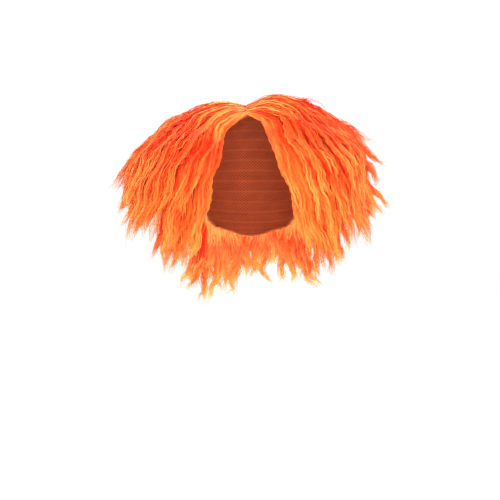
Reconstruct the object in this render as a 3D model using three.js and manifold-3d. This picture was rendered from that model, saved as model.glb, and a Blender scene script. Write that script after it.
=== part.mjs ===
// A clown wig of crimped orange fibre: a stretch cap that rows of hair are sewn to, parted in the
// middle and combed out into two wings. Millimetres, +Z up, the face opening towards -Y. The
// origin is the crown of the head, on the inside of the cap. Left and right are as seen from the
// front.
import * as THREE from "three";
import { mergeVertices } from "three/addons/utils/BufferGeometryUtils.js";
import Module from "manifold-3d";

const wasm = await Module();
wasm.setup();

// The head that the cap is cut to
const HEAD_HALF_WIDTH = 75;
const HEAD_HALF_DEPTH = 97;
const HEAD_RISE = 112; // from the widest level up to the crown

// The cap and the tapes that the hair is sewn along
const CAP_WALL = 2;
const TAPE_WIDTH = 9;
const TAPE_THICKNESS = 2;
const CLEARANCE = 0.3; // between one piece and the next

// The parting, from the front edge to the crown
const PARTING_OFFSET = -6;
const PARTING_FRONT = -50;
const PARTING_BACK = 48;

// The hair
const WING_REACH = 190; // from the middle out to the tips of the wings
const BACK_REACH = 150; // from the middle back to the hair behind the head
const WING_DROP = 200; // from the crown down to the lowest tips of the wings
const NAPE_DROP = 262; // from the crown down to the tips behind the neck
const LIFT_LEFT = 7; // how far the hair rises beside the parting
const LIFT_RIGHT = 14;
const LOCK_WIDTH = 31;
const LOCK_THICKNESS = 12;
const WAVE_LENGTH = 62; // the slow bend of a whole lock
const WAVE_DEPTH = 3.2;

// Facets
const CAP_SEGMENTS = 28;
const CAP_RINGS = 5;
const LOCK_STEPS = 6;
const TAPE_STEPS = 7;

// Where a hair leaves the head for good, as a share of its run from the parting
const HANG_SHARE = 0.5;
// How much of its run a hair from a lower row takes to reach its own depth
const SPREAD_SHARE = 0.3;
// From here on the roots turn round the back end of the parting
const CROWN_SHARE = 0.8;
// Where a hair is lifted most, as a share of the way from its root to its shoulder
const CREST_SHARE = 0.45;
// The share of its length in which a lock fills out, and how late it narrows to its tip
const FILL_SHARE = 0.45;
const TIP_POWER = 6;
// A lock's longest and shortest length, as shares of its line, how far a short one stands out
// more, and how much the widths and the lengths of the lowest row vary
const LONGEST_SHARE = 1.03;
const SHORTEST_SHARE = 0.87;
const STAND_OUT_SHARE = 0.1;
const WIDTH_SHARE = 0.3;
const NAPE_SHARE = 0.06;

// The cap's edge: azimuth from the side towards the back, polar angle from the crown, in degrees
const CAP_EDGE = [
  { azimuth: -90, polar: 31 },
  { azimuth: -68, polar: 37 },
  { azimuth: -48, polar: 64 },
  { azimuth: -34, polar: 92 },
  { azimuth: -20, polar: 98 },
  { azimuth: -8, polar: 87 },
  { azimuth: 12, polar: 85 },
  { azimuth: 28, polar: 102 },
  { azimuth: 50, polar: 118 },
  { azimuth: 90, polar: 125 },
];

// Seven lines of hair, from the curtain beside the face to the middle of the back. root is the
// line's place along the parting, and lift is a share of LIFT_LEFT or LIFT_RIGHT. under is how
// far down a hair hangs that lies close to the head, and leftSag and rightSag are how much lower
// its shoulder lies on that side, as shares of WING_DROP.
const ROOTS = [
  { root: 0, lift: 0, under: 0.93, leftSag: 0.07, rightSag: 0 },
  { root: 0.13, lift: 0.5, under: 1, leftSag: 0.06, rightSag: 0.01 },
  { root: 0.3, lift: 1, under: 1.08, leftSag: 0.04, rightSag: 0.01 },
  { root: 0.48, lift: 1, under: 1.15, leftSag: 0.035, rightSag: 0.015 },
  { root: 0.68, lift: 1, under: 1.15, leftSag: 0.02, rightSag: 0.01 },
  { root: 0.9, lift: 0.8, under: 1.15, leftSag: 0, rightSag: 0.01 },
  { root: 1, lift: 0.7, under: 1.15, leftSag: 0, rightSag: 0 },
];
// The shoulder, the bulge and the tip of those lines on the outer surface: across as shares of
// WING_REACH, back of BACK_REACH and down of WING_DROP.
const OUTLINE = [
  { across: [0.19, 0.29, 0.32], back: [-0.35, -0.49, -0.43], down: [0.16, 0.48, 0.97] },
  { across: [0.33, 0.49, 0.6], back: [-0.35, -0.54, -0.57], down: [0.12, 0.46, 1.05] },
  { across: [0.47, 0.73, 0.88], back: [-0.23, -0.42, -0.5], down: [0.06, 0.38, 0.94] },
  { across: [0.54, 0.81, 0.98], back: [-0.02, -0.04, -0.05], down: [0.04, 0.3, 0.7] },
  { across: [0.49, 0.73, 0.88], back: [0.25, 0.38, 0.46], down: [0.06, 0.38, 0.9] },
  { across: [0.28, 0.43, 0.5], back: [0.52, 0.77, 0.87], down: [0.08, 0.43, 1.0] },
  { across: [0, 0, 0], back: [0.67, 0.95, 1.0], down: [0.1, 0.46, 1.07] },
];

// The rows of hair. from and to run over the outline, 0 beside the face and 1 at the middle of
// the back. start is where the row leaves the head along a hair's run, and depth is its share of
// the way out to the outer surface.
const SIDE_WEFTS = [
  { name: "top_weft", from: 0.04, start: 0, depth: 1, locks: 17, width: 1.05 },
  { name: "side_weft", from: 0.285, start: 0.27, depth: 0.63, locks: 8, width: 1.15 },
  { name: "ear_weft", from: 0.25, start: 0.4, depth: 0.32, locks: 4, width: 1.15 },
];
const BACK_WEFTS = [
  { name: "crown_weft", start: 0, depth: 1, locks: 8, width: 1.3 },
  { name: "back_weft", start: 0.27, depth: 0.63, locks: 6, width: 1.15 },
];
const BACK_SHARE = 0.785; // where the rows of the sides meet those of the back
const EAR_SHARE = 0.64; // where the row behind the ear ends

// The lowest row: azimuth from the side towards the back, drop as a share of NAPE_DROP, and
// flare as a share of BACK_REACH, of which a share is reached halfway down
const NAPE = { polar: 108, locks: 7, width: 1.3, rootWidth: 1.6, halfway: 0.3 };
const NAPE_OUTLINE = [
  { azimuth: 24, drop: 0.95, flare: 0.17 },
  { azimuth: 44, drop: 1.0, flare: 0.1 },
  { azimuth: 66, drop: 0.97, flare: 0.05 },
  { azimuth: 90, drop: 0.95, flare: 0.04 },
];

const SIDES = [
  { name: "left", sign: -1, lift: LIFT_LEFT, sag: (row) => row.leftSag, napeDrop: 1 },
  { name: "right", sign: 1, lift: LIFT_RIGHT, sag: (row) => row.rightSag, napeDrop: 0.93 },
];

const HAIR = new THREE.MeshStandardMaterial({ color: 0xff6a28, roughness: 0.55, metalness: 0 });
const NET = new THREE.MeshStandardMaterial({ color: 0xd9481a, roughness: 0.85, metalness: 0 });

const radians = THREE.MathUtils.degToRad;
const { lerp, clamp, smoothstep } = THREE.MathUtils;

// A number from -0.5 to 0.5 that differs from lock to lock and is the same in each run
function vary(index, kind) {
  const value = index * 0.6180339887 + kind * 0.7548776662;
  return value - Math.floor(value) - 0.5;
}

// A value read between the rows of a table, at a share of its length from 0 to 1
function between(rows, share, read) {
  const place = clamp(share, 0, 1) * (rows.length - 1);
  const row = Math.min(Math.floor(place), rows.length - 2);
  const near = (k) => read(rows[clamp(k, 0, rows.length - 1)]);
  const [a, b, c, d] = [near(row - 1), near(row), near(row + 1), near(row + 2)];
  const x = place - row;
  const bend = (2 * a - 5 * b + 4 * c - d) * x * x + (3 * (b - c) + d - a) * x * x * x;
  return b + 0.5 * ((c - a) * x + bend);
}

// The head's radius in plan at an azimuth, taken out by an offset
function planRadius(azimuth, offset = 0) {
  const x = Math.cos(radians(azimuth)) / (HEAD_HALF_WIDTH + offset);
  const y = Math.sin(radians(azimuth)) / (HEAD_HALF_DEPTH + offset);
  return 1 / Math.hypot(x, y);
}

function planPoint(sign, azimuth, radius, z) {
  const turn = radians(azimuth);
  return new THREE.Vector3(sign * radius * Math.cos(turn), radius * Math.sin(turn), z);
}

// A point on the head, taken out by an offset
function headPoint(sign, azimuth, polar, offset) {
  const tilt = radians(polar);
  const z = (HEAD_RISE + offset) * Math.cos(tilt) - HEAD_RISE;
  return planPoint(sign, azimuth, planRadius(azimuth, offset) * Math.sin(tilt), z);
}

// The point on top of the head above a place in plan
function headTop(x, y, offset) {
  const across = x / (HEAD_HALF_WIDTH + offset);
  const along = y / (HEAD_HALF_DEPTH + offset);
  const rise = Math.sqrt(1 - across * across - along * along);
  return new THREE.Vector3(x, y, (HEAD_RISE + offset) * rise - HEAD_RISE);
}

function capEdge(azimuth) {
  const next = CAP_EDGE.findIndex((row) => row.azimuth >= azimuth);
  const b = CAP_EDGE[Math.max(next, 1)];
  const a = CAP_EDGE[Math.max(next, 1) - 1];
  return lerp(a.polar, b.polar, smoothstep(azimuth, a.azimuth, b.azimuth));
}

// A closed solid through rings of points, with a point at each end
function ringSolid(rings, first, last) {
  const sides = rings[0].length;
  const points = [first, ...rings.flat(), last];
  const at = (ring, k) => 1 + ring * sides + (k % sides);
  const end = points.length - 1;
  const faces = [];
  for (let k = 0; k < sides; k++) {
    faces.push(0, at(0, k + 1), at(0, k));
    for (let r = 0; r + 1 < rings.length; r++) {
      faces.push(at(r, k), at(r, k + 1), at(r + 1, k + 1));
      faces.push(at(r, k), at(r + 1, k + 1), at(r + 1, k));
    }
    faces.push(at(rings.length - 1, k), at(rings.length - 1, k + 1), end);
  }
  const geometry = new THREE.BufferGeometry().setFromPoints(points);
  geometry.setIndex(faces);
  return solidOf(geometry);
}

function solidOf(geometry) {
  const merged = mergeVertices(geometry, 1e-4);
  const vertProperties = merged.attributes.position.array;
  const make = (triVerts) =>
    new wasm.Manifold(new wasm.Mesh({ numProp: 3, vertProperties, triVerts }));
  const made = make(new Uint32Array(merged.index.array));
  return made.volume() < 0 ? make(new Uint32Array(merged.index.array).reverse()) : made;
}

function meshOf(solid, material, name) {
  const made = solid.getMesh();
  const geometry = new THREE.BufferGeometry();
  geometry.setAttribute("position", new THREE.BufferAttribute(made.vertProperties, 3));
  geometry.setIndex(new THREE.BufferAttribute(made.triVerts, 1));
  const mesh = new THREE.Mesh(geometry, material);
  mesh.name = name;
  return mesh;
}

const middle = (points) =>
  points.reduce((sum, p) => sum.add(p), new THREE.Vector3()).divideScalar(points.length);

// The head from the crown down to below the cap, taken out by an offset
function dome(offset) {
  const rings = [];
  for (let r = 1; r <= CAP_RINGS + 2; r++) {
    rings.push(capRing((azimuth) => (capEdge(azimuth) * r) / CAP_RINGS, offset));
  }
  return ringSolid(rings, headTop(0, 0, offset), middle(rings.at(-1)));
}

function capRing(polarAt, offset) {
  return Array.from({ length: CAP_SEGMENTS }, (_, k) => {
    const turn = (k / CAP_SEGMENTS) * 360 - 90;
    const sign = k < CAP_SEGMENTS / 2 ? 1 : -1;
    const azimuth = sign > 0 ? turn : 180 - turn;
    return headPoint(sign, azimuth, polarAt(azimuth), offset);
  });
}

function capSolid() {
  const rings = [];
  for (let r = 1; r <= CAP_RINGS; r++) {
    rings.push(capRing((azimuth) => (capEdge(azimuth) * r) / CAP_RINGS, CAP_WALL));
  }
  for (let r = CAP_RINGS; r >= 1; r--) {
    rings.push(capRing((azimuth) => (capEdge(azimuth) * r) / CAP_RINGS, 0));
  }
  return ringSolid(rings, headTop(0, 0, CAP_WALL), headTop(0, 0, 0));
}

const TAPE_BOTTOM = CAP_WALL + CLEARANCE;
const TAPE_MIDDLE = TAPE_BOTTOM + TAPE_THICKNESS / 2;
const TAPE_REACH = (CLEARANCE + TAPE_WIDTH) / 2; // from the parting to a tape's centre line

// A place beside the parting, or round its back end, at a distance from it
function partingPoint(sign, share, reach, offset) {
  const turn = radians(90) * clamp((share - CROWN_SHARE) / (1 - CROWN_SHARE), 0, 1);
  const along = clamp(between(ROOTS, share, (row) => row.root), 0, 1);
  const x = PARTING_OFFSET + sign * reach * Math.cos(turn);
  const y = lerp(PARTING_FRONT, PARTING_BACK, along) + reach * Math.sin(turn);
  return headTop(x, y, offset);
}

// The shoulder, bulge or tip of a hair on the outer surface, where k is 0, 1 or 2
function outlinePoint(side, share, k) {
  const read = (key) => between(OUTLINE, share, (row) => row[key][k]);
  const sag = between(ROOTS, share, side.sag) * (1 - k / 2);
  return new THREE.Vector3(
    side.sign * read("across") * WING_REACH,
    read("back") * BACK_REACH,
    -(read("down") + sag) * WING_DROP,
  );
}

// The azimuth of such a point, from the side towards the back
function outlineAzimuth(side, share, k) {
  const { x, y } = outlinePoint(side, share, k);
  return THREE.MathUtils.radToDeg(Math.atan2(y, side.sign * x));
}

// The line of a hair on the outer surface, from its root to its tip
function outerLine(side, share) {
  const [shoulder, bulge, tip] = [0, 1, 2].map((k) => outlinePoint(side, share, k));
  const root = partingPoint(side.sign, share, TAPE_REACH, TAPE_MIDDLE);
  const crest = root.clone().lerp(shoulder, CREST_SHARE);
  crest.z += side.lift * between(ROOTS, share, (row) => row.lift);
  return new THREE.CatmullRomCurve3([root, crest, shoulder, bulge, tip], false, "catmullrom", 0.5);
}

// The line of a hair that lies on the head and then hangs straight down
function innerPoint(side, share, run) {
  const hung = clamp((run - HANG_SHARE) / (1 - HANG_SHARE), 0, 1);
  const azimuth = lerp(outlineAzimuth(side, share, 0), outlineAzimuth(side, share, 2), hung);
  const point = headPoint(side.sign, azimuth, 90 * Math.min(run / HANG_SHARE, 1), TAPE_MIDDLE);
  point.z = lerp(point.z, -between(ROOTS, share, (row) => row.under) * WING_DROP, hung);
  return point;
}

// A hair's place: share round the outline, run from 0 at the parting to 1 at the tip
function hairPoint(side, share, run, row, flare = 0) {
  const ramp = row.start > 0 ? smoothstep(run, row.start, row.start + SPREAD_SHARE) : 1;
  const depth = row.depth * ramp + flare * run * run;
  const outer = outerLine(side, share).getPoint(Math.min(run, 1));
  return innerPoint(side, share, run).lerp(outer, depth);
}

// A tapered, waved lock with a ridge down its outside. place gives its line from 0 to 1.
function lock(place, index, rootWidth, width) {
  const rings = [];
  const centre = new THREE.Vector3(0, 0, -HEAD_RISE);
  const phase = vary(index, 1) * 2 * Math.PI;
  const nudge = 0.1 / LOCK_STEPS;
  let travelled = 0;
  for (let step = 0; step < LOCK_STEPS; step++) {
    const f = step / LOCK_STEPS;
    const here = place(f);
    const along = place(f + nudge).sub(place(Math.max(f - nudge, 0))).normalize();
    const outward = here.clone().sub(centre);
    const across = new THREE.Vector3().crossVectors(along, outward).normalize();
    const normal = new THREE.Vector3().crossVectors(across, along).normalize();
    if (step > 0) travelled += here.distanceTo(place((step - 1) / LOCK_STEPS));
    const wave = (travelled / WAVE_LENGTH) * 2 * Math.PI + phase;
    const filled = smoothstep(f, 0, FILL_SHARE);
    const swing = WAVE_DEPTH * filled;
    here.addScaledVector(normal, swing * Math.sin(wave));
    here.addScaledVector(across, swing * Math.cos(wave));
    const taper = 1 - f ** TIP_POWER;
    const halfWidth = 0.5 * lerp(rootWidth, width, filled) * taper;
    const halfThickness = 0.5 * lerp(TAPE_THICKNESS, LOCK_THICKNESS, filled) * taper;
    rings.push([
      here.clone().addScaledVector(across, -halfWidth),
      here.clone().addScaledVector(normal, halfThickness),
      here.clone().addScaledVector(across, halfWidth),
      here.clone().addScaledVector(normal, -halfThickness),
    ]);
  }
  return ringSolid(rings, middle(rings[0]), place(1));
}

// A flat tape along a line of the head: corner gives its point at a step, an edge and an offset
function tape(steps, corner) {
  const rings = [];
  for (let k = 0; k <= steps; k++) {
    const f = k / steps;
    rings.push([
      corner(f, -0.5, TAPE_BOTTOM),
      corner(f, 0.5, TAPE_BOTTOM),
      corner(f, 0.5, TAPE_BOTTOM + TAPE_THICKNESS),
      corner(f, -0.5, TAPE_BOTTOM + TAPE_THICKNESS),
    ]);
  }
  return ringSolid(rings, middle(rings[0]), middle(rings.at(-1)));
}

// The side and share of a place in a back row, where spot runs from -1 on the left to 1
function backPlace(spot) {
  return { side: SIDES[spot < 0 ? 0 : 1], share: 1 - Math.abs(spot) * (1 - BACK_SHARE) };
}

const TAPE_TURN = THREE.MathUtils.radToDeg(TAPE_WIDTH / HEAD_RISE);

function rowTape(row, placeAt) {
  return tape(TAPE_STEPS, (f, edge, offset) => {
    const { side, share } = placeAt(f);
    if (row.start === 0) {
      return partingPoint(side.sign, share, TAPE_REACH + edge * TAPE_WIDTH, offset);
    }
    const polar = (90 * row.start) / HANG_SHARE + edge * TAPE_TURN;
    return headPoint(side.sign, outlineAzimuth(side, share, 0), polar, offset);
  });
}

// The locks of a row, one at each place
function rowLocks(row, places) {
  return places.map(({ side, share, index }) => {
    const short = 0.5 + vary(index, 2);
    const end = lerp(LONGEST_SHARE, SHORTEST_SHARE, short);
    const line = (f) => hairPoint(side, share, lerp(row.start, end, f), row, STAND_OUT_SHARE * short);
    const width = LOCK_WIDTH * row.width * (1 + WIDTH_SHARE * vary(index, 4));
    return lock(line, index, TAPE_WIDTH, width);
  });
}

// The outer skin of a solid's largest body, with any bubble inside it filled
function largest(solid) {
  return solid.decompose().reduce((a, b) => (b.volume() > a.volume() ? b : a));
}

function fuse(solids, keepOut) {
  return largest(wasm.Manifold.union(solids).subtract(keepOut));
}

// Cuts a row off along the line of its hair where the sides meet the back. The part on the side
// of the face stays where keep is 1, and the part on the side of the back where it is -1.
function cutAt(solid, side, row, keep) {
  const a = hairPoint(side, BACK_SHARE, row.start, row);
  const b = hairPoint(side, BACK_SHARE, 1, row);
  const normal = new THREE.Vector2(b.y - a.y, a.x - b.x).normalize().multiplyScalar(side.sign * keep);
  const reach = normal.x * a.x + normal.y * a.y + CLEARANCE / 2;
  return solid.trimByPlane([normal.x, normal.y, 0], reach);
}

const spread = (count, place) => Array.from({ length: count }, (_, k) => place(k / (count - 1), k));

const capKeepOut = dome(TAPE_BOTTOM);
const group = new THREE.Group();
group.add(meshOf(capSolid(), NET, "cap"));

// A lock where a side row meets a back row belongs to both, cut down its length, so both rows
// give it the same index, which no other lock has
const seamIndex = (side, row) => side.sign * (row.start + 1) - 2;

let seed = 0;
for (const side of SIDES) {
  for (const row of SIDE_WEFTS) {
    const meets = row.name !== "ear_weft";
    const to = meets ? BACK_SHARE : EAR_SHARE;
    const places = spread(row.locks, (f, k) => {
      const seam = meets && k === row.locks - 1;
      return { side, share: lerp(row.from, to, f), index: seam ? seamIndex(side, row) : seed + k };
    });
    const tapeAt = (f) => ({ side, share: lerp(row.start > 0 ? row.from : 0, to, f) });
    let solid = fuse([rowTape(row, tapeAt), ...rowLocks(row, places)], capKeepOut);
    if (meets) solid = cutAt(solid, side, row, 1);
    solid = solid.trimByPlane([side.sign, 0, 0], side.sign * PARTING_OFFSET + CLEARANCE / 2);
    group.add(meshOf(largest(solid), HAIR, `${row.name}_${side.name}`));
    seed += row.locks;
  }
}

for (const row of BACK_WEFTS) {
  const places = spread(row.locks, (f, k) => {
    const place = backPlace(2 * f - 1);
    const seam = k === 0 || k === row.locks - 1;
    return { ...place, index: seam ? seamIndex(place.side, row) : seed + k };
  });
  let solid = fuse([rowTape(row, (f) => backPlace(2 * f - 1)), ...rowLocks(row, places)], capKeepOut);
  for (const side of SIDES) solid = cutAt(solid, side, row, -1);
  group.add(meshOf(largest(solid), HAIR, row.name));
  seed += row.locks;
}

// The lowest row hangs from the back edge of the cap
function napePlace(spot) {
  const side = SIDES[spot < 0 ? 0 : 1];
  const share = 1 - Math.abs(spot);
  const read = (key) => between(NAPE_OUTLINE, share, (row) => row[key]);
  return { side, azimuth: read("azimuth"), drop: read("drop"), flare: read("flare") };
}

function napeLine(spot, index) {
  const { side, azimuth, drop, flare } = napePlace(spot);
  const root = headPoint(side.sign, azimuth, NAPE.polar, TAPE_MIDDLE);
  const radius = Math.hypot(root.x, root.y);
  const tipZ = -NAPE_DROP * drop * side.napeDrop * (1 + NAPE_SHARE * vary(index, 5));
  const flared = (share, z) => planPoint(side.sign, azimuth, radius + share * flare * BACK_REACH, z);
  const bend = flared(NAPE.halfway, lerp(root.z, tipZ, 0.5));
  const tip = flared(1, tipZ);
  const curve = new THREE.CatmullRomCurve3([root, bend, tip], false, "catmullrom", 0.5);
  return (f) => curve.getPoint(Math.min(f, 1));
}

const napeLocks = Array.from({ length: NAPE.locks }, (_, k) => {
  const spot = (2 * (k + 0.5)) / NAPE.locks - 1;
  const index = seed + k;
  return lock(napeLine(spot, index), index, TAPE_WIDTH * NAPE.rootWidth, LOCK_WIDTH * NAPE.width);
});
const napeTape = tape(TAPE_STEPS, (f, edge, offset) => {
  const { side, azimuth } = napePlace(2 * f - 1);
  return headPoint(side.sign, azimuth, NAPE.polar + edge * TAPE_TURN, offset);
});
group.add(meshOf(fuse([napeTape, ...napeLocks], capKeepOut), HAIR, "nape_weft"));

export default group;
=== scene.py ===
"""Looks of the clown wig: crimped strands in locks, sewn in rows to a stretch cap.

Metres, +Z up, the face opening towards -Y, the origin at the crown on the inside of the cap.
Left and right are as seen from the front.
"""

import math

import bpy
import numpy as np
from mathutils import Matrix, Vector


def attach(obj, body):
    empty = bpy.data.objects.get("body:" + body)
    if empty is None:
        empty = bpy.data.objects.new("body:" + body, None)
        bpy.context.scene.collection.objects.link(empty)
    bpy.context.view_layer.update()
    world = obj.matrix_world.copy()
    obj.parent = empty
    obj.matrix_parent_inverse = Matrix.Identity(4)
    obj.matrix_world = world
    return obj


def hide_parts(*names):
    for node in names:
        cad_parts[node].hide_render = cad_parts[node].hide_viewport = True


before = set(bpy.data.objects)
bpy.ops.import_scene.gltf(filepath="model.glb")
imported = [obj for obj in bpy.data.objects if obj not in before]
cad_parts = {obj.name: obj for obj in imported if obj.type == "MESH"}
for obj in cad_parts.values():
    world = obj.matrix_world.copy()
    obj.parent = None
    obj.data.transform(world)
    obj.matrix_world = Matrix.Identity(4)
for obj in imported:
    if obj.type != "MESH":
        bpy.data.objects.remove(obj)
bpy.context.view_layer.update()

MM = 0.001
TURN = 2 * math.pi

# The head, the cap and the tapes, as in the solids
HEAD_HALF_WIDTH = 75 * MM
HEAD_HALF_DEPTH = 97 * MM
HEAD_RISE = 112 * MM
CAP_WALL = 2 * MM
TAPE_WIDTH = 9 * MM
TAPE_THICKNESS = 2 * MM
CLEARANCE = 0.3 * MM
PARTING_OFFSET = -6 * MM
PARTING_FRONT = -50 * MM
PARTING_BACK = 48 * MM
TAPE_BOTTOM = CAP_WALL + CLEARANCE
TAPE_MIDDLE = TAPE_BOTTOM + TAPE_THICKNESS / 2
TAPE_REACH = (CLEARANCE + TAPE_WIDTH) / 2

# The flow of the hair, as in the solids
WING_REACH = 190 * MM
BACK_REACH = 150 * MM
WING_DROP = 200 * MM
NAPE_DROP = 262 * MM
LOCK_WIDTH = 31 * MM
LOCK_THICKNESS = 12 * MM
WAVE_LENGTH = 62 * MM
WAVE_DEPTH = 2 * MM
HANG_SHARE = 0.5
SPREAD_SHARE = 0.3
CROWN_SHARE = 0.8
CREST_SHARE = 0.45
FILL_SHARE = 0.45
LONGEST_SHARE = 1.03
SHORTEST_SHARE = 0.87
STAND_OUT_SHARE = 0.1
WIDTH_SHARE = 0.3
NAPE_SHARE = 0.06
BACK_SHARE = 0.785
EAR_SHARE = 0.64
SIDE_SHARE = 0.2
TOP_FROM = 0.04
TOP_LOCKS = 17
SIDE_LOCKS = 9
EAR_LOCKS = 5

# How far down the cap reaches, in degrees from the crown, from the middle of the face (-90) to
# the middle of the neck (90)
CAP_EDGE = {
    "azimuth": (-90, -68, -48, -34, -20, -8, 12, 28, 50, 90),
    "polar": (31, 37, 64, 92, 98, 87, 85, 102, 118, 125),
}
# Seven lines of hair from the curtain beside the face to the middle of the back: where along
# the parting they begin, how much of the lift they have, how low the innermost hair hangs and
# how much lower their shoulders hang on each side, the last two as shares of WING_DROP
ROOTS = {
    "root": (0, 0.13, 0.3, 0.48, 0.68, 0.9, 1),
    "lift": (0, 0.5, 1, 1, 1, 0.8, 0.7),
    "under": (0.93, 1, 1.08, 1.15, 1.15, 1.15, 1.15),
    "left_sag": (0.07, 0.06, 0.04, 0.035, 0.02, 0, 0),
    "right_sag": (0, 0.01, 0.01, 0.015, 0.01, 0.01, 0),
}
# Their shoulder, bulge and tip, as shares of WING_REACH, BACK_REACH and WING_DROP
OUTLINE = {
    "across": (
        (0.19, 0.29, 0.32),
        (0.33, 0.49, 0.6),
        (0.47, 0.73, 0.88),
        (0.54, 0.81, 0.98),
        (0.49, 0.73, 0.88),
        (0.28, 0.43, 0.5),
        (0, 0, 0),
    ),
    "back": (
        (-0.35, -0.49, -0.43),
        (-0.35, -0.54, -0.57),
        (-0.23, -0.42, -0.5),
        (-0.02, -0.04, -0.05),
        (0.25, 0.38, 0.46),
        (0.52, 0.77, 0.87),
        (0.67, 0.95, 1.0),
    ),
    "down": (
        (0.16, 0.48, 0.97),
        (0.12, 0.46, 1.05),
        (0.06, 0.38, 0.94),
        (0.04, 0.3, 0.7),
        (0.06, 0.38, 0.9),
        (0.08, 0.43, 1.0),
        (0.1, 0.46, 1.07),
    ),
}
# The lowest row, from beside the neck to its middle: how low it hangs as a share of NAPE_DROP,
# and how far its tips stand out as a share of BACK_REACH. Angles are in degrees.
NAPE_OUTLINE = {
    "azimuth": (24, 44, 66, 90),
    "drop": (0.95, 1.0, 0.97, 0.95),
    "flare": (0.17, 0.1, 0.05, 0.04),
}
NAPE_POLAR = 108
NAPE_ROOT_WIDTH = 1.6
NAPE_HALFWAY = 0.3

# The two sides. sign is the side, lift the rise beside the parting, sag the row of ROOTS that
# lowers the shoulder, nape_drop how low the lowest row hangs, as a share, and sink how far the
# outermost hair lies in from its line at the shoulder. tuck is how far the curtain beside the
# face is drawn in at its shoulder, bulge and tip, in millimetres, and notch how far the middle
# of the wing is drawn in above its tips. pale and curtain_pale are how far the colours of the
# wing's middle and of the curtain run ahead to those of the tips, past the redder middle of
# those colours: painted light. curtain_painted_shade is how far along its colours the curtain
# begins, past the pale band beside the roots: painted shade on the curtain's upper part.
LEFT = {
    "sign": -1, "lift": 7 * MM, "sag": "left_sag", "nape_drop": 1, "sink": 4.5 * MM,
    "tuck": (-4, -6.5, -3), "notch": 0,
    "pale": 0.32, "curtain_pale": 0.15, "curtain_painted_shade": 0,
}
RIGHT = {
    "sign": 1, "lift": 14 * MM, "sag": "right_sag", "nape_drop": 0.93, "sink": 3.5 * MM,
    "tuck": (20, -1.5, -13), "notch": 13 * MM,
    "pale": 0.12, "curtain_pale": 0.45, "curtain_painted_shade": 0.25,
}

# The rows of hair. start is where a row leaves the head along a hair's run, depth its share of
# the way out to the outer surface, width that of its locks as a share of LOCK_WIDTH, and clumps
# how many each lock has. A clump has a broad core, long strands round it from root to tip, and
# short ones that join it on the way. pull is how far bunches of clumps draw together at their
# tips, cut how short the shortest are, past how far the longest reach past the lock's tip and
# curl how far their ends bend to and fro, both in millimetres, ragged how much the locks'
# lengths differ, fray how much the strands' lengths differ in a clump, tone how much lighter
# the row is, as painted light where it hangs in the shade of the wings, and flare its share of
# TIP_FLARE.
COLUMNS = (
    "start", "depth", "width", "clumps", "long", "short", "pull", "cut", "past", "ragged",
    "curl", "fray", "tone", "flare",
)
TOP = dict(zip(COLUMNS, (0, 1, 1.3, 15, 4, 4, 0.5, 0.6, 10, 0.9, 1.2, 0.1, 0, 1)))
SIDE = dict(zip(COLUMNS, (0.27, 0.82, 1.4, 15, 4, 4, 0.45, 0.76, 8, 0.6, 2, 0.1, 0, 1)))
EAR = dict(zip(COLUMNS, (0.4, 0.34, 1.5, 18, 4, 4, 0.45, 0.8, 26, 0.1, 2.5, 0.1, 0, 1)))
CROWN = dict(zip(COLUMNS, (0, 1, 1.4, 20, 4, 4, 0.55, 0.65, 14, 0.9, 1.2, 0.1, 0, 1)))
BACK = dict(zip(COLUMNS, (0.27, 0.78, 1.3, 18, 4, 4, 0.5, 0.74, 14, 0.5, 2, 0.1, 0, 1)))
# The lowest row's tone is painted light in the shade under the wings
NAPE = dict(zip(COLUMNS, (0.5, 0, 1.3, 21, 6, 4, 0.85, 0.7, 14, 1, 4.5, 0.12, 0.42, 1)))
WISP = dict(zip(COLUMNS, (0.5, 0, 0.14, 2, 3, 0, 0.4, 0.9, 0, 0, 1, 0.1, 0, 0)))
SPIKE = dict(zip(COLUMNS, (0.5, 0, 0.34, 8, 5, 2, 0.85, 0.91, 4, 0, 1, 0.24, 0, 0.2)))
WISP_THICKNESS = 3 * MM
SPIKE_THICKNESS = 4 * MM
LOOSE_COLOUR_START = 0.35  # how far along their colours loose locks begin, past the pale band beside the roots, which is painted highlight
LOOSE_SPREAD = 1.2  # of their clumps, in millimetres

# Wisps that stand off the rest, and locks whose tips point out at the edges of the wings, as
# points from root to tip in millimetres
WISPS = (
    ((14, -30, 3), (46, -26, 12), (74, -24, 13), (88, -22, 6), (97, -22, -6), (103, -22, -20)),
    ((60, -28, 8), (80, -26, 7), (94, -26, -2), (102, -26, -14), (106, -26, -28)),
    ((112, -26, -16), (138, -26, -28), (158, -26, -40), (172, -26, -49), (185, -26, -59)),
)
SPIKES = (
    ((124, -30, -34), (150, -32, -53), (168, -32, -68), (185, -32, -83)),
    ((130, -34, -56), (154, -34, -77), (168, -34, -94), (176, -34, -109)),
    ((132, -26, -78), (158, -26, -103), (174, -24, -123), (190, -22, -143)),
    ((128, -26, -98), (150, -26, -124), (164, -24, -141), (175, -22, -154)),
    ((-130, -26, -40), (-156, -26, -63), (-180, -26, -93), (-198, -26, -118)),
    ((-132, -26, -84), (-152, -26, -108), (-166, -24, -126), (-180, -22, -143)),
    ((-130, -26, -92), (-153, -26, -120), (-169, -24, -143), (-179, -22, -166)),
    ((-112, -28, -108), (-135, -28, -139), (-152, -26, -160), (-165, -26, -178)),
    ((-104, -30, -130), (-122, -30, -165), (-131, -28, -190), (-136, -26, -212)),
    ((-82, -36, -140), (-90, -36, -175), (-94, -34, -205), (-95, -34, -229)),
    ((-64, 30, -160), (-71, 34, -198), (-77, 36, -232), (-80, 36, -260)),
    ((80, -34, -150), (88, -32, -185), (92, -30, -214), (95, -28, -238)),
    ((104, -32, -125), (120, -32, -158), (130, -32, -182), (136, -32, -204)),
)

# Pairs from here on are ranges: of a random number, or of the shares in which something sets
# in, either round the outline or from the root of a lock or strand to its tip.

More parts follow.
